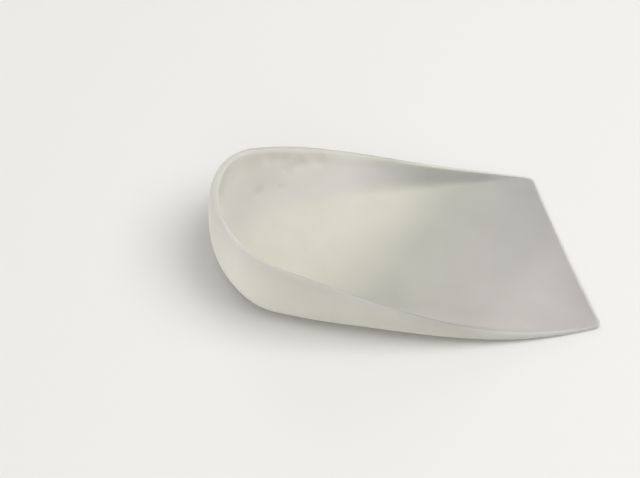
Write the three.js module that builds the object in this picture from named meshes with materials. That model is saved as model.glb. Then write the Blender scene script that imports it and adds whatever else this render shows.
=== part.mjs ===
// A gel heel cushion, moulded in one piece: a soft cup that is tall round the heel, falls along both
// sides and ends in a thin, straight front edge.
// Millimetres, +Z up. X runs from the back of the heel to the front edge. The cushion lies flat on Z = 0.

import * as THREE from 'three';

// Plan of the rim: a heel with a flatter back and rounder cheeks, two long bowed sides, two small
// front corners and a front edge that bows in by frontHollow
const length = 100;
const widestHalf = 31;
const widestAt = 67;
const frontHalf = 27.7;
const backRadius = 27.5;
const cheekRadius = 19.5;
const cornerRadius = 1.8;
const frontHollow = 0.5;

// One row for each cross-section, at its place along the length:
// rim is the height of the wall, lip its thickness at the top, floor the thickness underfoot,
// tuck how far the wall draws in below the rim, dish the width of the curve from floor to wall
const sections = [
  { at: 0, rim: 21.3, lip: 2.2, floor: 5.0, tuck: 7.9, dish: 11.0 },
  { at: 12.5, rim: 20.0, lip: 2.2, floor: 5.0, tuck: 7.4, dish: 11.0 },
  { at: 25, rim: 17.0, lip: 2.1, floor: 4.8, tuck: 7.4, dish: 10.5 },
  { at: 37.5, rim: 13.1, lip: 2.0, floor: 4.2, tuck: 7.9, dish: 10.1 },
  { at: 50, rim: 9.1, lip: 1.9, floor: 3.5, tuck: 7.3, dish: 9.4 },
  { at: 62.5, rim: 5.6, lip: 1.7, floor: 2.7, tuck: 5.9, dish: 8.1 },
  { at: 75, rim: 3.1, lip: 1.4, floor: 2.0, tuck: 4.0, dish: 6.1 },
  { at: 87.5, rim: 1.7, lip: 1.0, floor: 1.4, tuck: 2.2, dish: 3.4 },
  { at: 100, rim: 1.0, lip: 0.6, floor: 0.95, tuck: 0.9, dish: 0.6 },
];

// The rim's outer shoulder starts this many lips below its top, but above this share of its height
const shoulderDrop = 1.1;
const shoulderLeast = 0.45;

// The rim's inner edge has this radius, or this share of the lip where that is less
const innerRound = 0.9;
const innerMost = 0.4;

// The slope inside a low wall rises as this power of the way up, so it is nearly straight
const rampPower = 1.35;

// The ribs of the front edge fan out from a point on the middle line this far behind it
const frontFan = 14;

// Steps along half of the rim's plan, and along one section
const steps = { back: 8, cheek: 12, side: 18, corner: 3, front: 7 };
const sectionSteps = { floor: 4, dish: 7, edge: 3, shoulder: 4, wall: 7 };

const quarterTurn = Math.PI / 2;

// Points closer than this are one point
const sharedWithin = 0.001;

const gel = new THREE.MeshStandardMaterial({ color: 0xc6c4ba, roughness: 0.55, metalness: 0 });

// Each side is an arc through the widest place and the front corner
const sideSag = widestHalf - frontHalf;
const sideRun = length - widestAt;
const sideRadius = (sideRun ** 2 + sideSag ** 2) / (2 * sideSag);
const sideCentre = new THREE.Vector2(widestAt, widestHalf - sideRadius);

// The back of the heel is an arc, and each cheek is the circle that runs smoothly on from it into a side.
// The three centres make a triangle, which gives the direction from the back's centre to the cheek's.
const backCentre = new THREE.Vector2(backRadius, 0);
const backToSide = sideCentre.clone().sub(backCentre);
const backToCheek = backRadius - cheekRadius;
const cheekToSide = sideRadius - cheekRadius;
const centreAngle = Math.acos(
  (backToCheek ** 2 + backToSide.lengthSq() - cheekToSide ** 2) / (2 * backToCheek * backToSide.length()),
);
const backEnd = backToSide.angle() - centreAngle;
const cheekCentre = backCentre.clone().add(pointAt(backEnd).multiplyScalar(backToCheek));
const cheekEnd = cheekCentre.clone().sub(sideCentre).angle();

// Each front corner is a small circle that touches the side and the front edge
const cornerX = length - cornerRadius;
const cornerReach = Math.sqrt((sideRadius - cornerRadius) ** 2 - (cornerX - widestAt) ** 2);
const cornerCentre = new THREE.Vector2(cornerX, sideCentre.y + cornerReach);
const sideEnd = cornerCentre.clone().sub(sideCentre).angle();

function pointAt(angle) {
  return new THREE.Vector2(Math.cos(angle), Math.sin(angle));
}

// Size of one column of the table at a place along the length, on a smooth curve through the rows
const columns = ['rim', 'lip', 'floor', 'tuck', 'dish'];
const sectionCurve = new THREE.CubicInterpolant(
  sections.map((row) => row.at),
  sections.flatMap((row) => columns.map((name) => row[name])),
  columns.length,
);

function sectionAt(x) {
  const values = sectionCurve.evaluate(x);
  return Object.fromEntries(columns.map((name, index) => [name, values[index]]));
}

// Ribs along an arc of the plan. A rib has its tip on the rim, the rim's outward direction there,
// and its root on the middle line.
function arcRibs(centre, radius, fromAngle, toAngle, count, fromRoot, toRoot) {
  const ribs = [];
  for (let i = 1; i <= count; i += 1) {
    const outward = pointAt(THREE.MathUtils.lerp(fromAngle, toAngle, i / count));
    const tip = centre.clone().addScaledVector(outward, radius);
    ribs.push({ tip, outward, root: THREE.MathUtils.lerp(fromRoot, toRoot, i / count) });
  }
  return ribs;
}

function frontRibs(root) {
  const ribs = [];
  for (let i = 1; i <= steps.front; i += 1) {
    const aside = 1 - i / steps.front;
    const tip = new THREE.Vector2(length - frontHollow * (1 - aside ** 2), cornerCentre.y * aside);
    ribs.push({ tip, outward: new THREE.Vector2(1, 0), root });
  }
  return ribs;
}

// Half of the plan, from the back of the heel round to the middle of the front edge
function halfPlan() {
  const heelRoot = backRadius;
  const frontRoot = length - frontFan;
  const back = { tip: new THREE.Vector2(0, 0), outward: new THREE.Vector2(-1, 0), root: heelRoot };
  return [
    back,
    ...arcRibs(backCentre, backRadius, Math.PI, backEnd, steps.back, heelRoot, heelRoot),
    ...arcRibs(cheekCentre, cheekRadius, backEnd, cheekEnd, steps.cheek, heelRoot, heelRoot),
    ...arcRibs(sideCentre, sideRadius, cheekEnd, sideEnd, steps.side, heelRoot, frontRoot),
    ...arcRibs(cornerCentre, cornerRadius, sideEnd, 0, steps.corner, frontRoot, frontRoot),
    ...frontRibs(frontRoot),
  ];
}

function mirrored(rib) {
  const flip = new THREE.Vector2(1, -1);
  return { tip: rib.tip.clone().multiply(flip), outward: rib.outward.clone().multiply(flip), root: rib.root };
}

// The section along one rib, from the middle of the floor up the wall, over the rim and down to
// the middle of the underside
function ribSection(rib) {
  const { rim, lip, tuck, dish } = sectionAt(rib.tip.x);
  const points = [];
  const add = (plan, z) => points.push(new THREE.Vector3(plan.x, plan.y, z));
  const inset = (distance) => rib.tip.clone().addScaledVector(rib.outward, -distance);
  const root = new THREE.Vector2(rib.root, 0);

  const dishFoot = inset(lip + dish);
  for (let i = 0; i < sectionSteps.floor; i += 1) {
    const plan = root.clone().lerp(dishFoot, i / sectionSteps.floor);
    add(plan, sectionAt(plan.x).floor);
  }

  // The floor curves up into a tall wall along a quarter of an ellipse, and slopes up to a low one.
  // Its points are even on a low wall, and closer together towards the top of a tall one.
  const edge = Math.min(innerRound, innerMost * lip);
  const floorAtWall = sectionAt(inset(lip).x).floor;
  const wallTop = Math.max(rim - edge, floorAtWall);
  const rise = wallTop - floorAtWall;
  const steepness = Math.min(rise / dish, 1);
  for (let i = 0; i < sectionSteps.dish; i += 1) {
    const share = i / sectionSteps.dish;
    const reach = THREE.MathUtils.lerp(share, Math.sin(share * quarterTurn), steepness);
    const climb = THREE.MathUtils.lerp(reach ** rampPower, 1 - Math.sqrt(1 - reach ** 2), steepness);
    const plan = inset(lip + dish * (1 - reach));
    add(plan, sectionAt(plan.x).floor + rise * climb);
  }

  // The rim has a small round inner edge and a broad outer shoulder
  for (let i = 0; i < sectionSteps.edge; i += 1) {
    const turn = (i / sectionSteps.edge) * quarterTurn;
    add(inset(lip - edge * (1 - Math.cos(turn))), wallTop + (rim - wallTop) * Math.sin(turn));
  }
  const shoulder = Math.max(rim - shoulderDrop * lip, shoulderLeast * rim);
  for (let i = 0; i < sectionSteps.shoulder; i += 1) {
    const turn = (i / sectionSteps.shoulder) * quarterTurn;
    add(inset((lip - edge) * (1 - Math.sin(turn))), shoulder + (rim - shoulder) * Math.cos(turn));
  }

  // The outside rounds under to the flat underside along a quarter of an ellipse
  for (let i = 0; i <= sectionSteps.wall; i += 1) {
    const turn = (i / sectionSteps.wall) * quarterTurn;
    add(inset(tuck * (1 - Math.cos(turn))), shoulder * (1 - Math.sin(turn)));
  }
  add(root, 0);
  return points;
}

// Closed skin over a ring of sections. Points that fall together share one vertex.
function skin(ring) {
  const positions = [];
  const known = new Map();
  const vertex = (point) => {
    const key = point.toArray().map((value) => Math.round(value / sharedWithin)).join(' ');
    if (!known.has(key)) {
      known.set(key, positions.length / 3);
      positions.push(point.x, point.y, point.z);
    }
    return known.get(key);
  };
  const triangles = [];
  const addTriangle = (a, b, c) => {
    if (a !== b && b !== c && c !== a) triangles.push(a, b, c);
  };
  const rows = ring.map((section) => section.map(vertex));
  rows.forEach((row, index) => {
    const next = rows[(index + 1) % rows.length];
    for (let i = 0; i + 1 < row.length; i += 1) {
      addTriangle(row[i], next[i], row[i + 1]);
      addTriangle(next[i], next[i + 1], row[i + 1]);
    }
  });
  const geometry = new THREE.BufferGeometry();
  geometry.setAttribute('position', new THREE.Float32BufferAttribute(positions, 3));
  geometry.setIndex(triangles);
  geometry.computeVertexNormals();
  return geometry;
}

function heelCushion() {
  const half = halfPlan();
  const otherHalf = half.slice(1, -1).map(mirrored).reverse();
  const cushion = new THREE.Mesh(skin([...half, ...otherHalf].map(ribSection)), gel);
  cushion.name = 'heel_cushion';
  cushion.position.x = -length / 2;
  return cushion;
}

const model = new THREE.Group();
model.add(heelCushion());

export default model;
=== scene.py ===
import math

import bpy
import numpy as np
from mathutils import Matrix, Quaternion, Vector


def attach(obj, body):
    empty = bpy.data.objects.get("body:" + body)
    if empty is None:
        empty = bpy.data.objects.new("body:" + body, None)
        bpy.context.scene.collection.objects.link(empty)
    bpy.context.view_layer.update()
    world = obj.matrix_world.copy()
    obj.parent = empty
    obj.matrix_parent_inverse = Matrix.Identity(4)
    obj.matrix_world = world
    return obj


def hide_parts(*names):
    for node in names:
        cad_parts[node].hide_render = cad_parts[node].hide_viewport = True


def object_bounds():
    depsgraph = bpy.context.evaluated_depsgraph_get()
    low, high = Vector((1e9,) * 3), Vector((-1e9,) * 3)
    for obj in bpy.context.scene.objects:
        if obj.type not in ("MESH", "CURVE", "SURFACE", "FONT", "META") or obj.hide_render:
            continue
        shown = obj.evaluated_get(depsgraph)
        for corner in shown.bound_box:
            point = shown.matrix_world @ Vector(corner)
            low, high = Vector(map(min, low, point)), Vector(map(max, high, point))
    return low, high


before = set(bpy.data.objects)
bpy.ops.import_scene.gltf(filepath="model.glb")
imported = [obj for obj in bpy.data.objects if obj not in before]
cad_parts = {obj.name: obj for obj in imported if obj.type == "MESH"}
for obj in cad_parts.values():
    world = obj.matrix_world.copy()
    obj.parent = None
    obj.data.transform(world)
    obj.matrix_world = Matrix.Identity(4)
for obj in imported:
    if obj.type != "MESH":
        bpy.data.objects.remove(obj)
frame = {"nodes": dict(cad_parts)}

cadLow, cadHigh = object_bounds()
mm = 0.001
quarterTurn = math.pi / 2
mergeWithin = 0.01 * mm
bpy.context.scene.view_settings.view_transform = "Standard"
print("frame loaded:", ", ".join(frame["nodes"]))


def linearColour(hexCode):  # sRGB hex to the linear numbers that shaders take
    channels = [int(hexCode[i:i + 2], 16) / 255 for i in (1, 3, 5)]
    return [c / 12.92 if c <= 0.04045 else ((c + 0.055) / 1.055) ** 2.4 for c in channels] + [1]


def addNode(tree, kind, settings, inputs):  # a node, its settings, and a value or a link for each input
    node = tree.nodes.new(kind)
    for name, value in settings.items():
        setattr(node, name, value)
    for socket, value in inputs.items():
        if isinstance(value, bpy.types.NodeSocket):
            tree.links.new(value, node.inputs[socket])
        else:
            node.inputs[socket].default_value = value
    return node


def startMaterial(name):  # a material with an empty node tree
    material = bpy.data.materials.new(name)
    material.use_nodes = True
    material.node_tree.nodes.clear()
    return material


# Heel cushion, one gel moulding. Sizes in mm, x from the back of the heel while it is being shaped.
cushion = {
    "length": (cadHigh.x - cadLow.x) / mm,
    "widestHalf": cadHigh.y / mm,
    "widestAt": 67,
    "frontHalf": 27.7,
    "frontHollow": 0.5,  # the front edge bows in by this much
    "backRadius": 27.5, "cheekRadius": 19.5,  # the heel is flatter at the back than at its cheeks
    "cornerRadius": 1.8,
    "backSteps": 8, "cheekSteps": 12, "sideSteps": 18,  # along half of the rim, from the heel
    "cornerSteps": 3, "frontSteps": 7,  # and on to the middle of the front edge
    "outsideRings": 7, "shoulderRings": 4, "edgeRings": 3, "insideRings": 7,  # rings from sole to floor
    "shoulderDrop": 1.1, "shoulderLeast": 0.45,  # lips below the rim, and least share of its height
    "innerRound": 0.9, "innerMost": 0.4,  # radius of the inner edge, at most this share of the lip
    "rampPower": 1.35,  # how hollow the slope inside a low wall is
    "frontCells": 16, "gridTurn": 1,  # faces across the front, and the corner where the grid fill starts
    # one row for each column of the cage, evenly spaced from the heel to the front edge: height of the rim,
    # thickness of its lip and of the floor, how far the outside tucks under, width of the dish's curve
    "sections": [
        {"rim": 21.3, "lip": 2.2, "floor": 5.0, "tuck": 7.9, "dish": 11.0},
        {"rim": 20.0, "lip": 2.2, "floor": 5.0, "tuck": 7.4, "dish": 11.0},
        {"rim": 17.0, "lip": 2.1, "floor": 4.8, "tuck": 7.4, "dish": 10.5},
        {"rim": 13.1, "lip": 2.0, "floor": 4.2, "tuck": 7.9, "dish": 10.1},
        {"rim": 9.1, "lip": 1.9, "floor": 3.5, "tuck": 7.3, "dish": 9.4},
        {"rim": 5.6, "lip": 1.7, "floor": 2.7, "tuck": 5.9, "dish": 8.1},
        {"rim": 3.1, "lip": 1.4, "floor": 2.0, "tuck": 4.0, "dish": 6.1},
        {"rim": 1.7, "lip": 1.0, "floor": 1.4, "tuck": 2.2, "dish": 3.4},
        {"rim": 1.0, "lip": 0.6, "floor": 0.95, "tuck": 0.9, "dish": 0.6},
    ],
}


def planArcs(spec):  # half of the rim's plan, arcs from the heel to the front edge that run into each other
    back, cheek, corner = spec["backRadius"], spec["cheekRadius"], spec["cornerRadius"]
    sag = spec["widestHalf"] - spec["frontHalf"]
    run = spec["length"] - spec["widestAt"]
    side = (run ** 2 + sag ** 2) / (2 * sag)
    sideCentre = Vector((spec["widestAt"], spec["widestHalf"] - side))
    backCentre = Vector((back, 0))
    toSide = sideCentre - backCentre
    squares = (back - cheek) ** 2 + toSide.length_squared - (side - cheek) ** 2
    centreCos = squares / (2 * (back - cheek) * toSide.length)  # the three centres make a triangle
    backEnd = (math.atan2(toSide.y, toSide.x) - math.acos(centreCos)) % math.tau
    cheekCentre = backCentre + (back - cheek) * Vector((math.cos(backEnd), math.sin(backEnd)))
    cheekEnd = math.atan2(*(cheekCentre - sideCentre).yx)
    cornerX = spec["length"] - corner
    cornerY = sideCentre.y + math.sqrt((side - corner) ** 2 - (cornerX - sideCentre.x) ** 2)
    cornerCentre = Vector((cornerX, cornerY))
    sideEnd = math.atan2(*(cornerCentre - sideCentre).yx)
    arcs = []
    for centre, radius, start, end, steps in (
        (backCentre, back, math.pi, backEnd, "backSteps"),
        (cheekCentre, cheek, backEnd, cheekEnd, "cheekSteps"),
        (sideCentre, side, cheekEnd, sideEnd, "sideSteps"),
        (cornerCentre, corner, sideEnd, 0, "cornerSteps"),
    ):
        arcs.append({"centre": centre, "radius": radius, "from": start, "to": end, "steps": spec[steps]})
    return arcs


def rimNormal(arcs, x):  # the rim's normal at x: its x share, and its y share of the half width there
    for arc in arcs[:3]:  # the small corner counts as side
        outX = (x - arc["centre"].x) / arc["radius"]
        if outX < math.cos(arc["to"]):
            break
    outY = math.sqrt(max(1 - outX ** 2, 0))
    if outY == 0:  # the back of the heel
        return outX, 1 / arc["radius"]
    return outX, outY / (arc["centre"].y + arc["radius"] * outY)


def ringCount(spec):
    return spec["outsideRings"] + spec["shoulderRings"] + spec["edgeRings"] + spec["insideRings"]


def modelTin(spec, arcs):  # a straight tin with the plan of the rim, one ring for each mm of height
    bpy.ops.object.select_all(action="DESELECT")
    bpy.ops.mesh.primitive_plane_add(size=mm, location=(0, 0, 0))
    tin = bpy.context.object
    tin.name = "heelCushion"
    bpy.ops.object.mode_set(mode="EDIT")
    bpy.ops.mesh.merge(type="CENTER")  # one point, at the back of the heel
    for arc in arcs:
        centre = arc["centre"].to_3d() * mm
        bpy.ops.mesh.spin(steps=arc["steps"], angle=arc["from"] - arc["to"], center=centre, axis=(0, 0, 1))
    count = spec["frontSteps"]
    aside = [1 - i / count for i in range(count + 1)]
    for last, now in zip(aside, aside[1:]):  # along the front to the middle line
        stepX = spec["frontHollow"] * (now ** 2 - last ** 2)
        stepY = arcs[-1]["centre"].y * (now - last)
        bpy.ops.mesh.extrude_region_move(TRANSFORM_OT_translate={"value": Vector((stepX, stepY, 0)) * mm})
    bpy.ops.mesh.select_all(action="SELECT")
    bpy.ops.mesh.duplicate()
    bpy.ops.transform.resize(value=(1, -1, 1), center_override=(0, 0, 0))
    bpy.ops.mesh.select_all(action="SELECT")
    bpy.ops.mesh.remove_doubles(threshold=mergeWithin)
    for _ in range(ringCount(spec)):
        bpy.ops.mesh.extrude_region_move(TRANSFORM_OT_translate={"value": (0, 0, mm)})
    bpy.ops.object.mode_set(mode="OBJECT")
    return tin


def sectionSize(spec, name, x):  # a size between two rows of the table
    rows = spec["sections"]
    place = min(max(x / spec["length"], 0), 1) * (len(rows) - 1)
    row = min(int(place), len(rows) - 2)
    return rows[row][name] + (rows[row + 1][name] - rows[row][name]) * (place - row)


# Painted light and shade on the gel: a shade multiplies the gel's tone. The foot of the outside is painted
# lighter, the rim's crest and inner edge darker to damp their highlight, and the inner wall greyer towards
# +y.
paintedGelShading = {
    "standsFrom": 0.4, "tallFrom": 4,  # mm from floor to rim that count in full as a wall, and as a tall one
    "footUpTo": 0.4, "footPaintedLight": 1.28,  # the foot is this share of the outside's rings, and is painted lighter
    "faceShade": 0.94,  # painted shade at the top of the outside, below the shoulder
    "shadeAcross": (-25, -10, 10, 25),  # mm across, from the wall on -y round the heel to the one on +y
    # painted shade on the rim's crest and inner edge, to damp their highlight
    "crestShades": (0.52, 0.61, 0.66, 0.5), "edgeShades": (0.55, 0.58, 0.83, 0.9),
    "fadeRings": 2,  # the edge's shade ends this far below it
    "nookRings": 4, "nookShades": (1, 0.88, 0.95, 1),  # low inside the heel, where less light gets in
    "greyAcross": (-5, 15), "greyFade": 3,  # painted grey shade on the inner wall towards +y, fading down to the floor
}


# stores the painted light and shade as attributes on the tin's points
def storePaintedShading(tin, spec, zone):  # by ring, as long as the tin's rings are level
    crest = spec["outsideRings"] + spec["shoulderRings"]
    edge = crest + spec["edgeRings"]
    foot = spec["outsideRings"] * zone["footUpTo"]
    fade, nook, floor = edge + zone["fadeRings"], edge + zone["nookRings"], edge + spec["insideRings"]
    shadeRings = [foot, spec["outsideRings"], crest, edge, fade, nook, floor]
    stored = {"outerFacePaintedLight": [], "innerWallPaintedShade": [], "ringShade": []}
    for vertex in tin.data.vertices:
        x, y, ring = vertex.co / mm
        rise = sectionSize(spec, "rim", x) - sectionSize(spec, "floor", x)
        stands = min(rise / zone["standsFrom"], 1)
        tall = min(rise / zone["tallFrom"], 1)
        outer = np.interp(ring, [crest, edge], [1, 0])
        downWall = np.interp(ring, [edge, floor], [0, 1])
        # painted grey shade on the inner wall, towards +y
        grey = np.interp(y, zone["greyAcross"], [0, 1])
        # painted shade on the rim's crest and inner edge, to damp their highlight
        crestShade = 1 - tall + tall * np.interp(y, zone["shadeAcross"], zone["crestShades"])
        edgeShade = 1 - tall + tall * np.interp(y, zone["shadeAcross"], zone["edgeShades"])
        nookShade = np.interp(y, zone["shadeAcross"], zone["nookShades"])
        shades = [zone["footPaintedLight"], zone["faceShade"], crestShade, edgeShade, 1, nookShade, 1]
        stored["outerFacePaintedLight"].append(outer)
        stored["innerWallPaintedShade"].append((1 - outer - downWall ** zone["greyFade"]) * stands * grey)
        stored["ringShade"].append(1 + (np.interp(ring, shadeRings, shades) - 1) * stands)
    for name, values in stored.items():
        tin.data.attributes.new(name, "FLOAT", "POINT").data.foreach_set("value", values)


def ringPlace(row, ring, spec):  # inset from the rim's plan, and height, of one ring of the wall
    edge = min(spec["innerRound"], spec["innerMost"] * row["lip"])
    shoulder = max(row["rim"] - spec["shoulderDrop"] * row["lip"], spec["shoulderLeast"] * row["rim"])
    innerTop = max(row["rim"] - edge, row["floor"])
    if ring <= spec["outsideRings"]:  # up the outside, a quarter of an ellipse
        turn = (1 - ring / spec["outsideRings"]) * quarterTurn
        return row["tuck"] * (1 - math.cos(turn)), shoulder * (1 - math.sin(turn))
    ring -= spec["outsideRings"]
    if ring <= spec["shoulderRings"]:  # a broad round shoulder up to the rim
        turn = ring / spec["shoulderRings"] * quarterTurn
        inset = (row["lip"] - edge) * (1 - math.cos(turn))
        return inset, shoulder + (row["rim"] - shoulder) * math.sin(turn)
    ring -= spec["shoulderRings"]
    if ring <= spec["edgeRings"]:  # over the inner edge
        turn = ring / spec["edgeRings"] * quarterTurn
        return row["lip"] - edge * (1 - math.sin(turn)), innerTop + (row["rim"] - innerTop) * math.cos(turn)
    share = 1 - (ring - spec["edgeRings"]) / spec["insideRings"]  # down the inside to the floor
    rise = innerTop - row["floor"]
    steepness = min(rise / row["dish"], 1)
    reach = share + (math.sin(share * quarterTurn) - share) * steepness
    cup = 1 - math.sqrt(1 - reach ** 2)  # a quarter of an ellipse round the heel
    ramp = reach ** spec["rampPower"]  # nearly a straight slope where the wall is low
    return row["lip"] + row["dish"] * (1 - reach), row["floor"] + rise * (ramp + (cup - ramp) * steepness)


def foldWall(tin, spec, arcs):  # a lattice cage folds the tin's rings into outside, rim and dish
    columns = len(spec["sections"])
    rings = ringCount(spec)
    width = 2 * spec["widestHalf"]
    bpy.ops.object.add(type="LATTICE", location=(spec["length"] / 2 * mm, 0, rings / 2 * mm))
    cage = bpy.context.object
    cage.scale = (spec["length"] * mm, width * mm, rings * mm)
    cage.data.points_u, cage.data.points_v, cage.data.points_w = columns, 2, rings + 1
    cage.data.interpolation_type_u = "KEY_CATMULL_ROM"
    cage.data.interpolation_type_v = cage.data.interpolation_type_w = "KEY_LINEAR"
    for index, point in enumerate(cage.data.points):
        column, side, ring = index % columns, index // columns % 2, index // (2 * columns)
        x = spec["length"] * column / (columns - 1)
        inset, height = ringPlace(spec["sections"][column], ring, spec)
        outX, drawIn = rimNormal(arcs, x)
        if column == columns - 1:  # the front edge
            outX = 1
        y = (1 - inset * drawIn) * (0.5 if side else -0.5)
        point.co_deform = Vector(((x - inset * outX) / spec["length"] - 0.5, y, height / rings - 0.5))
    bend = tin.modifiers.new("cage", "LATTICE")
    bend.object = cage
    bpy.context.view_layer.update()
    bpy.context.view_layer.objects.active = tin
    bpy.ops.object.modifier_apply(modifier=bend.name)
    bpy.data.objects.remove(cage)


def closeFloorAndSole(tin, spec):  # a grid of faces closes each open end
    tin.select_set(True)
    bpy.ops.object.mode_set(mode="EDIT")
    fill = {"span": spec["frontCells"], "offset": spec["gridTurn"], "use_interp_simple": True}
    bpy.ops.mesh.fill_grid(**fill)  # the last ring is still selected
    bpy.ops.mesh.select_all(action="DESELECT")
    bpy.ops.mesh.select_non_manifold(extend=False, use_non_contiguous=False)  # only the sole is open now
    bpy.ops.mesh.fill_grid(**fill)
    bpy.ops.mesh.select_all(action="SELECT")
    bpy.ops.mesh.remove_doubles(threshold=mergeWithin)
    bpy.ops.mesh.normals_make_consistent(inside=False)
    bpy.ops.transform.translate(value=(-spec["length"] / 2 * mm, 0, 0))  # the origin is under the middle
    bpy.ops.object.mode_set(mode="OBJECT")


rimArcs = planArcs(cushion)
gelPad = modelTin(cushion, rimArcs)
storePaintedShading(gelPad, cushion, paintedGelShading)
print("tin:", len(gelPad.data.vertices), "points")
foldWall(gelPad, cushion, rimArcs)
closeFloorAndSole(gelPad, cushion)
print("wall folded, floor and sole closed:", [round(size / mm, 2) for size in gelPad.dimensions], "mm")

# The soft skin: slow waves from casting, and the dents and pits on the wall, in mm
skin = {
    "waveOver": 17, "waveBy": 0.3, "waveFrom": 2,  # length and height of the waves, full this far up
    "smoothRounds": 2,
    "dents": [
        {"place": (-30.6, 21.2, 15.3), "across": 5, "deep": 0.8},
        {"place": (-26.4, 22.5, 15.0), "across": 4, "deep": 0.7},
        {"place": (-22.3, 23.4, 12.1), "across": 6, "deep": 1.1},
        {"place": (-23.9, 22.3, 10.9), "across": 5, "deep": 0.9},
        {"place": (-15.2, 25.1, 11.1), "across": 5, "deep": 0.9},
        {"place": (-33.4, 17.1, 8.6), "across": 5, "deep": 0.4},
        {"place": (-26.8, 19.1, 7.9), "across": 2.4, "deep": 0.6},
        {"place": (12.8, -30.8, 3.1), "across": 3, "deep": 0.4},
    ],
}


def waveSkin(piece, spec):  # the sole stays flat
    group = piece.vertex_groups.new(name="offTheGround")
    for vertex in piece.data.vertices:
        group.add([vertex.index], min(vertex.co.z / (spec["waveFrom"] * mm), 1), "REPLACE")
    waves = bpy.data.textures.new("castingWaves", "CLOUDS")
    waves.noise_scale = spec["waveOver"] * mm
    waves.noise_depth = 1
    swell = piece.modifiers.new("waves", "DISPLACE")
    swell.texture = waves
    swell.texture_coords = "LOCAL"
    swell.strength = spec["waveBy"] * mm
    swell.vertex_group = group.name
    bpy.ops.object.modifier_apply(modifier=swell.name)
    piece.vertex_groups.clear()


def smoothSkin(piece, spec):
    smooth = piece.modifiers.new("smooth", "SUBSURF")
    smooth.levels = smooth.render_levels = spec["smoothRounds"]
    bpy.ops.object.modifier_apply(modifier=smooth.name)
    bpy.ops.object.shade_smooth()


def pressDents(piece, spec):  # each dent pulls one point in, and its neighbours follow
    for dent in spec["dents"]:
        bpy.ops.object.mode_set(mode="EDIT")
        bpy.ops.mesh.select_all(action="DESELECT")
        bpy.ops.object.mode_set(mode="OBJECT")
        spot = Vector(dent["place"]) * mm
        nearest = min(piece.data.vertices, key=lambda vertex: (vertex.co - spot).length)
        nearest.select = True
        inward = -dent["deep"] * mm * nearest.normal
        bpy.ops.object.mode_set(mode="EDIT")
        bpy.ops.transform.translate(
            value=inward, use_proportional_edit=True, use_proportional_connected=True,
            proportional_edit_falloff="SMOOTH", proportional_size=dent["across"] / 2 * mm,
        )
        bpy.ops.object.mode_set(mode="OBJECT")


waveSkin(gelPad, skin)
smoothSkin(gelPad, skin)
pressDents(gelPad, skin)
print("skin:", len(gelPad.data.polygons), "faces,", len(skin["dents"]), "dents")

# Silicone gel, cast in a smooth mould and dusted so that it doesn't stick. It is milky: light goes in and
# comes out softened, so shadows inside it are faint. Thick gel looks creamy. The inner wall towards +y
# carries painted grey shade, the outside's tone is partly painted light, and the dusted skin has a low satin
# sheen. Places and sizes in mm.
gelLook = {
    # the tones run aslant: slant is how far along they shift for each mm across
    "tones": {
        "floor": {"slant": 0.9, "stops": [
            (-44, "#CCCABF"), (-22, "#CFCDC0"), (-11, "#C9C7BA"), (6, "#B1B0A7"),
            (28, "#B0AEA7"), (38, "#B3B0AA"), (49, "#BFB8B2"),
        ]},
        # painted shade: grey tones for the inner wall towards +y
        "wall": {"slant": 0.5, "stops": [
            (-42, "#C5C4BE"), (-20, "#C4C3BE"), (-8, "#AFAEA8"),
            (4, "#999893"), (20, "#959490"), (34, "#A5A49E"),
        ]},
        # the outside's tone, partly the gel's own and partly painted light: lighter at the heel, greyer
        # towards the front
        "outer": {"slant": 0.9, "stops": [
            (-34, "#D7D6CE"), (-17, "#C6C5BD"), (0, "#BEBDB6"),
            (15, "#C0BFB8"), (34, "#B7B6AF"), (49, "#B3B1AB"),
        ]},
    },
    "noiseSpan": (0.3, 0.7),  # nearly all of a noise pattern's values
    "cloudOver": 15, "cloudBy": 0.03, "cloudDetail": 2,
    "roughness": (0.5, 0.62), "roughOver": 7, "gloss": 0.35, "ior": 1.41,
    "bleed": 9, "bleedShare": 0.9, "bleedByColour": (1, 0.98, 0.92),
    "dustOver": 0.8, "dustBy": 0.02, "dustDetail": 1,  # real dust is finer, drawn coarse to show
}


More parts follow.
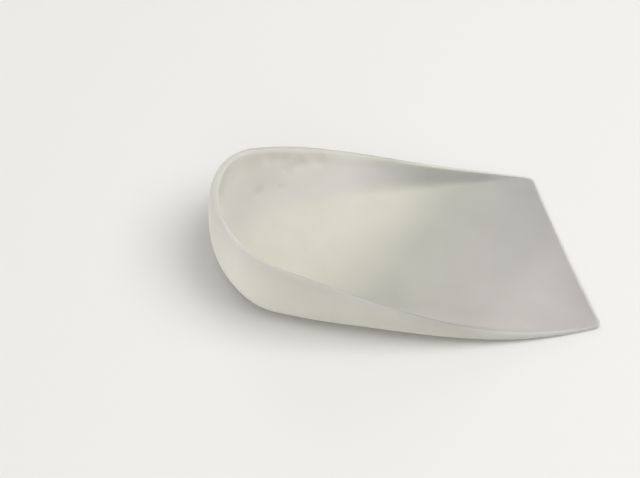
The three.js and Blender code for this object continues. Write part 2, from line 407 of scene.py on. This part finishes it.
def makeGel(look):
    gel = startMaterial("milkySiliconeGel")
    tree = gel.node_tree
    place = addNode(tree, "ShaderNodeTexCoord", {}, {}).outputs["Object"]
    axes = addNode(tree, "ShaderNodeSeparateXYZ", {}, {"Vector": place})
    tones = {}
    for name, row in look["tones"].items():
        aslant = addNode(tree, "ShaderNodeMath", {"operation": "MULTIPLY_ADD"}, {
            0: axes.outputs["Y"], 1: -row["slant"], 2: axes.outputs["X"],
        })
        along = addNode(tree, "ShaderNodeMapRange", {}, {
            "Value": aslant.outputs[0], "From Min": cadLow.x, "From Max": cadHigh.x,
        })
        ramp = addNode(tree, "ShaderNodeValToRGB", {}, {"Fac": along.outputs[0]})
        stops = ramp.color_ramp.elements
        while len(stops) < len(row["stops"]):
            stops.new(1)
        for stop, (at, hexCode) in zip(stops, row["stops"]):
            stop.position = (at * mm - cadLow.x) / (cadHigh.x - cadLow.x)
            stop.color = linearColour(hexCode)
        tones[name] = ramp.outputs["Color"]
    zones = {}
    # attributes that hold the painted light and shade by zone
    for name in ("outerFacePaintedLight", "innerWallPaintedShade", "ringShade"):
        zones[name] = addNode(tree, "ShaderNodeAttribute", {"attribute_name": name}, {}).outputs["Fac"]
    # share of the inner wall's painted grey shade
    paintedWallShadeShare = addNode(tree, "ShaderNodeMapRange", {"interpolation_type": "SMOOTHSTEP"}, {
        "Value": zones["innerWallPaintedShade"],
    })
    inner = addNode(tree, "ShaderNodeMix", {"data_type": "RGBA"}, {  # sockets 6 and 7 are its two colours
        0: paintedWallShadeShare.outputs[0], 6: tones["floor"], 7: tones["wall"],
    })
    tone = addNode(tree, "ShaderNodeMix", {"data_type": "RGBA"}, {
        0: zones["outerFacePaintedLight"], 6: inner.outputs[2], 7: tones["outer"],
    })
    noiseFrom, noiseTo = look["noiseSpan"]
    clouds = addNode(tree, "ShaderNodeTexNoise", {}, {
        "Vector": place, "Scale": 1 / (look["cloudOver"] * mm), "Detail": look["cloudDetail"],
    })
    cloudShade = addNode(tree, "ShaderNodeMapRange", {}, {
        "Value": clouds.outputs[0], "From Min": noiseFrom, "From Max": noiseTo,
        "To Min": 1 - look["cloudBy"], "To Max": 1 + look["cloudBy"],
    })
    # painted light and shade by ring, times the gel's random cloudy tone
    shade = addNode(tree, "ShaderNodeMath", {"operation": "MULTIPLY"}, {
        0: zones["ringShade"], 1: cloudShade.outputs[0],
    })
    colour = addNode(tree, "ShaderNodeMix", {"data_type": "RGBA", "blend_type": "MULTIPLY"}, {
        0: 1, 6: tone.outputs[2], 7: shade.outputs[0],
    })
    patches = addNode(tree, "ShaderNodeTexNoise", {}, {
        "Vector": place, "Scale": 1 / (look["roughOver"] * mm),
    })
    roughness = addNode(tree, "ShaderNodeMapRange", {}, {
        "Value": patches.outputs[0], "From Min": noiseFrom, "From Max": noiseTo,
        "To Min": look["roughness"][0], "To Max": look["roughness"][1],
    })
    dust = addNode(tree, "ShaderNodeTexNoise", {}, {
        "Vector": place, "Scale": 1 / (look["dustOver"] * mm), "Detail": look["dustDetail"],
    })
    grain = addNode(tree, "ShaderNodeBump", {}, {
        "Height": dust.outputs[0], "Strength": 1, "Distance": look["dustBy"] * mm,
    })
    shader = addNode(tree, "ShaderNodeBsdfPrincipled", {}, {
        "Base Color": colour.outputs[2], "Roughness": roughness.outputs[0], "Normal": grain.outputs[0],
        "IOR": look["ior"], "Specular IOR Level": look["gloss"],
        "Subsurface Weight": look["bleedShare"], "Subsurface Scale": look["bleed"] * mm,
        "Subsurface Radius": look["bleedByColour"],
    })
    addNode(tree, "ShaderNodeOutputMaterial", {}, {"Surface": shader.outputs[0]})
    return gel


gelPad.data.materials.clear()
gelPad.data.materials.append(makeGel(gelLook))
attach(gelPad, "root")
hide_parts("heel_cushion")
print("gel on")

# Pale studio floor of matte paper, sizes in metres
floorLook = {"size": 8, "paper": "#DEDDDA", "roughness": 0.9}
bpy.ops.object.select_all(action="DESELECT")
bpy.ops.mesh.primitive_plane_add(size=floorLook["size"], location=(0, 0, 0))
floor = bpy.context.object
floor.name = "studioFloor"
paper = startMaterial("mattePaper")
paperShader = addNode(paper.node_tree, "ShaderNodeBsdfPrincipled", {}, {
    "Base Color": linearColour(floorLook["paper"]), "Roughness": floorLook["roughness"],
})
addNode(paper.node_tree, "ShaderNodeOutputMaterial", {}, {"Surface": paperShader.outputs[0]})
floor.data.materials.append(paper)

# Soft boxes, places and sizes in metres, power in watts
studio = {
    "sky": "#F2F2F2", "skyStrength": 0.62,
    "lamps": [
        {"name": "softKey", "place": (0.35, -0.1, 0.85), "size": 0.8, "power": 6},
        {"name": "rimLight", "place": (-0.2, 0.9, 0.35), "size": 0.5, "power": 1.2},
        {"name": "frontFill", "place": (-0.3, -0.8, 0.55), "size": 0.8, "power": 1.8},
    ],
}
world = bpy.data.worlds.new("studio")
bpy.context.scene.world = world
world.use_nodes = True
sky = world.node_tree.nodes["Background"]
sky.inputs["Color"].default_value = linearColour(studio["sky"])
sky.inputs["Strength"].default_value = studio["skyStrength"]
for lamp in studio["lamps"]:
    bpy.ops.object.light_add(type="AREA", location=lamp["place"])
    light = bpy.context.object
    light.name = lamp["name"]
    light.data.size = lamp["size"]
    light.data.energy = lamp["power"]
    light.rotation_euler = (-Vector(lamp["place"])).to_track_quat("-Z", "Y").to_euler()
print("studio:", len(studio["lamps"]), "lamps")

# Camera at the photo's angle, degrees and mm
photoView = {
    "azimuth": -22.3, "elevation": 44.6, "roll": 14.0,
    "distance": 325.6, "aim": (-19.2, 3.6, 4.0), "lens": 71.3, "sensor": 36, "nearest": 10,
}
turn, lift = math.radians(photoView["azimuth"]), math.radians(photoView["elevation"])
back = Vector((math.sin(turn) * math.cos(lift), -math.cos(turn) * math.cos(lift), math.sin(lift)))
bpy.ops.object.camera_add(location=(Vector(photoView["aim"]) + back * photoView["distance"]) * mm)
camera = bpy.context.object
camera.rotation_mode = "QUATERNION"
level = (-back).to_track_quat("-Z", "Y")
camera.rotation_quaternion = level @ Quaternion((0, 0, 1), math.radians(photoView["roll"]))
camera.data.lens = photoView["lens"]
camera.data.sensor_width = photoView["sensor"]
camera.data.clip_start = photoView["nearest"] * mm
bpy.context.scene.camera = camera
print("camera set")
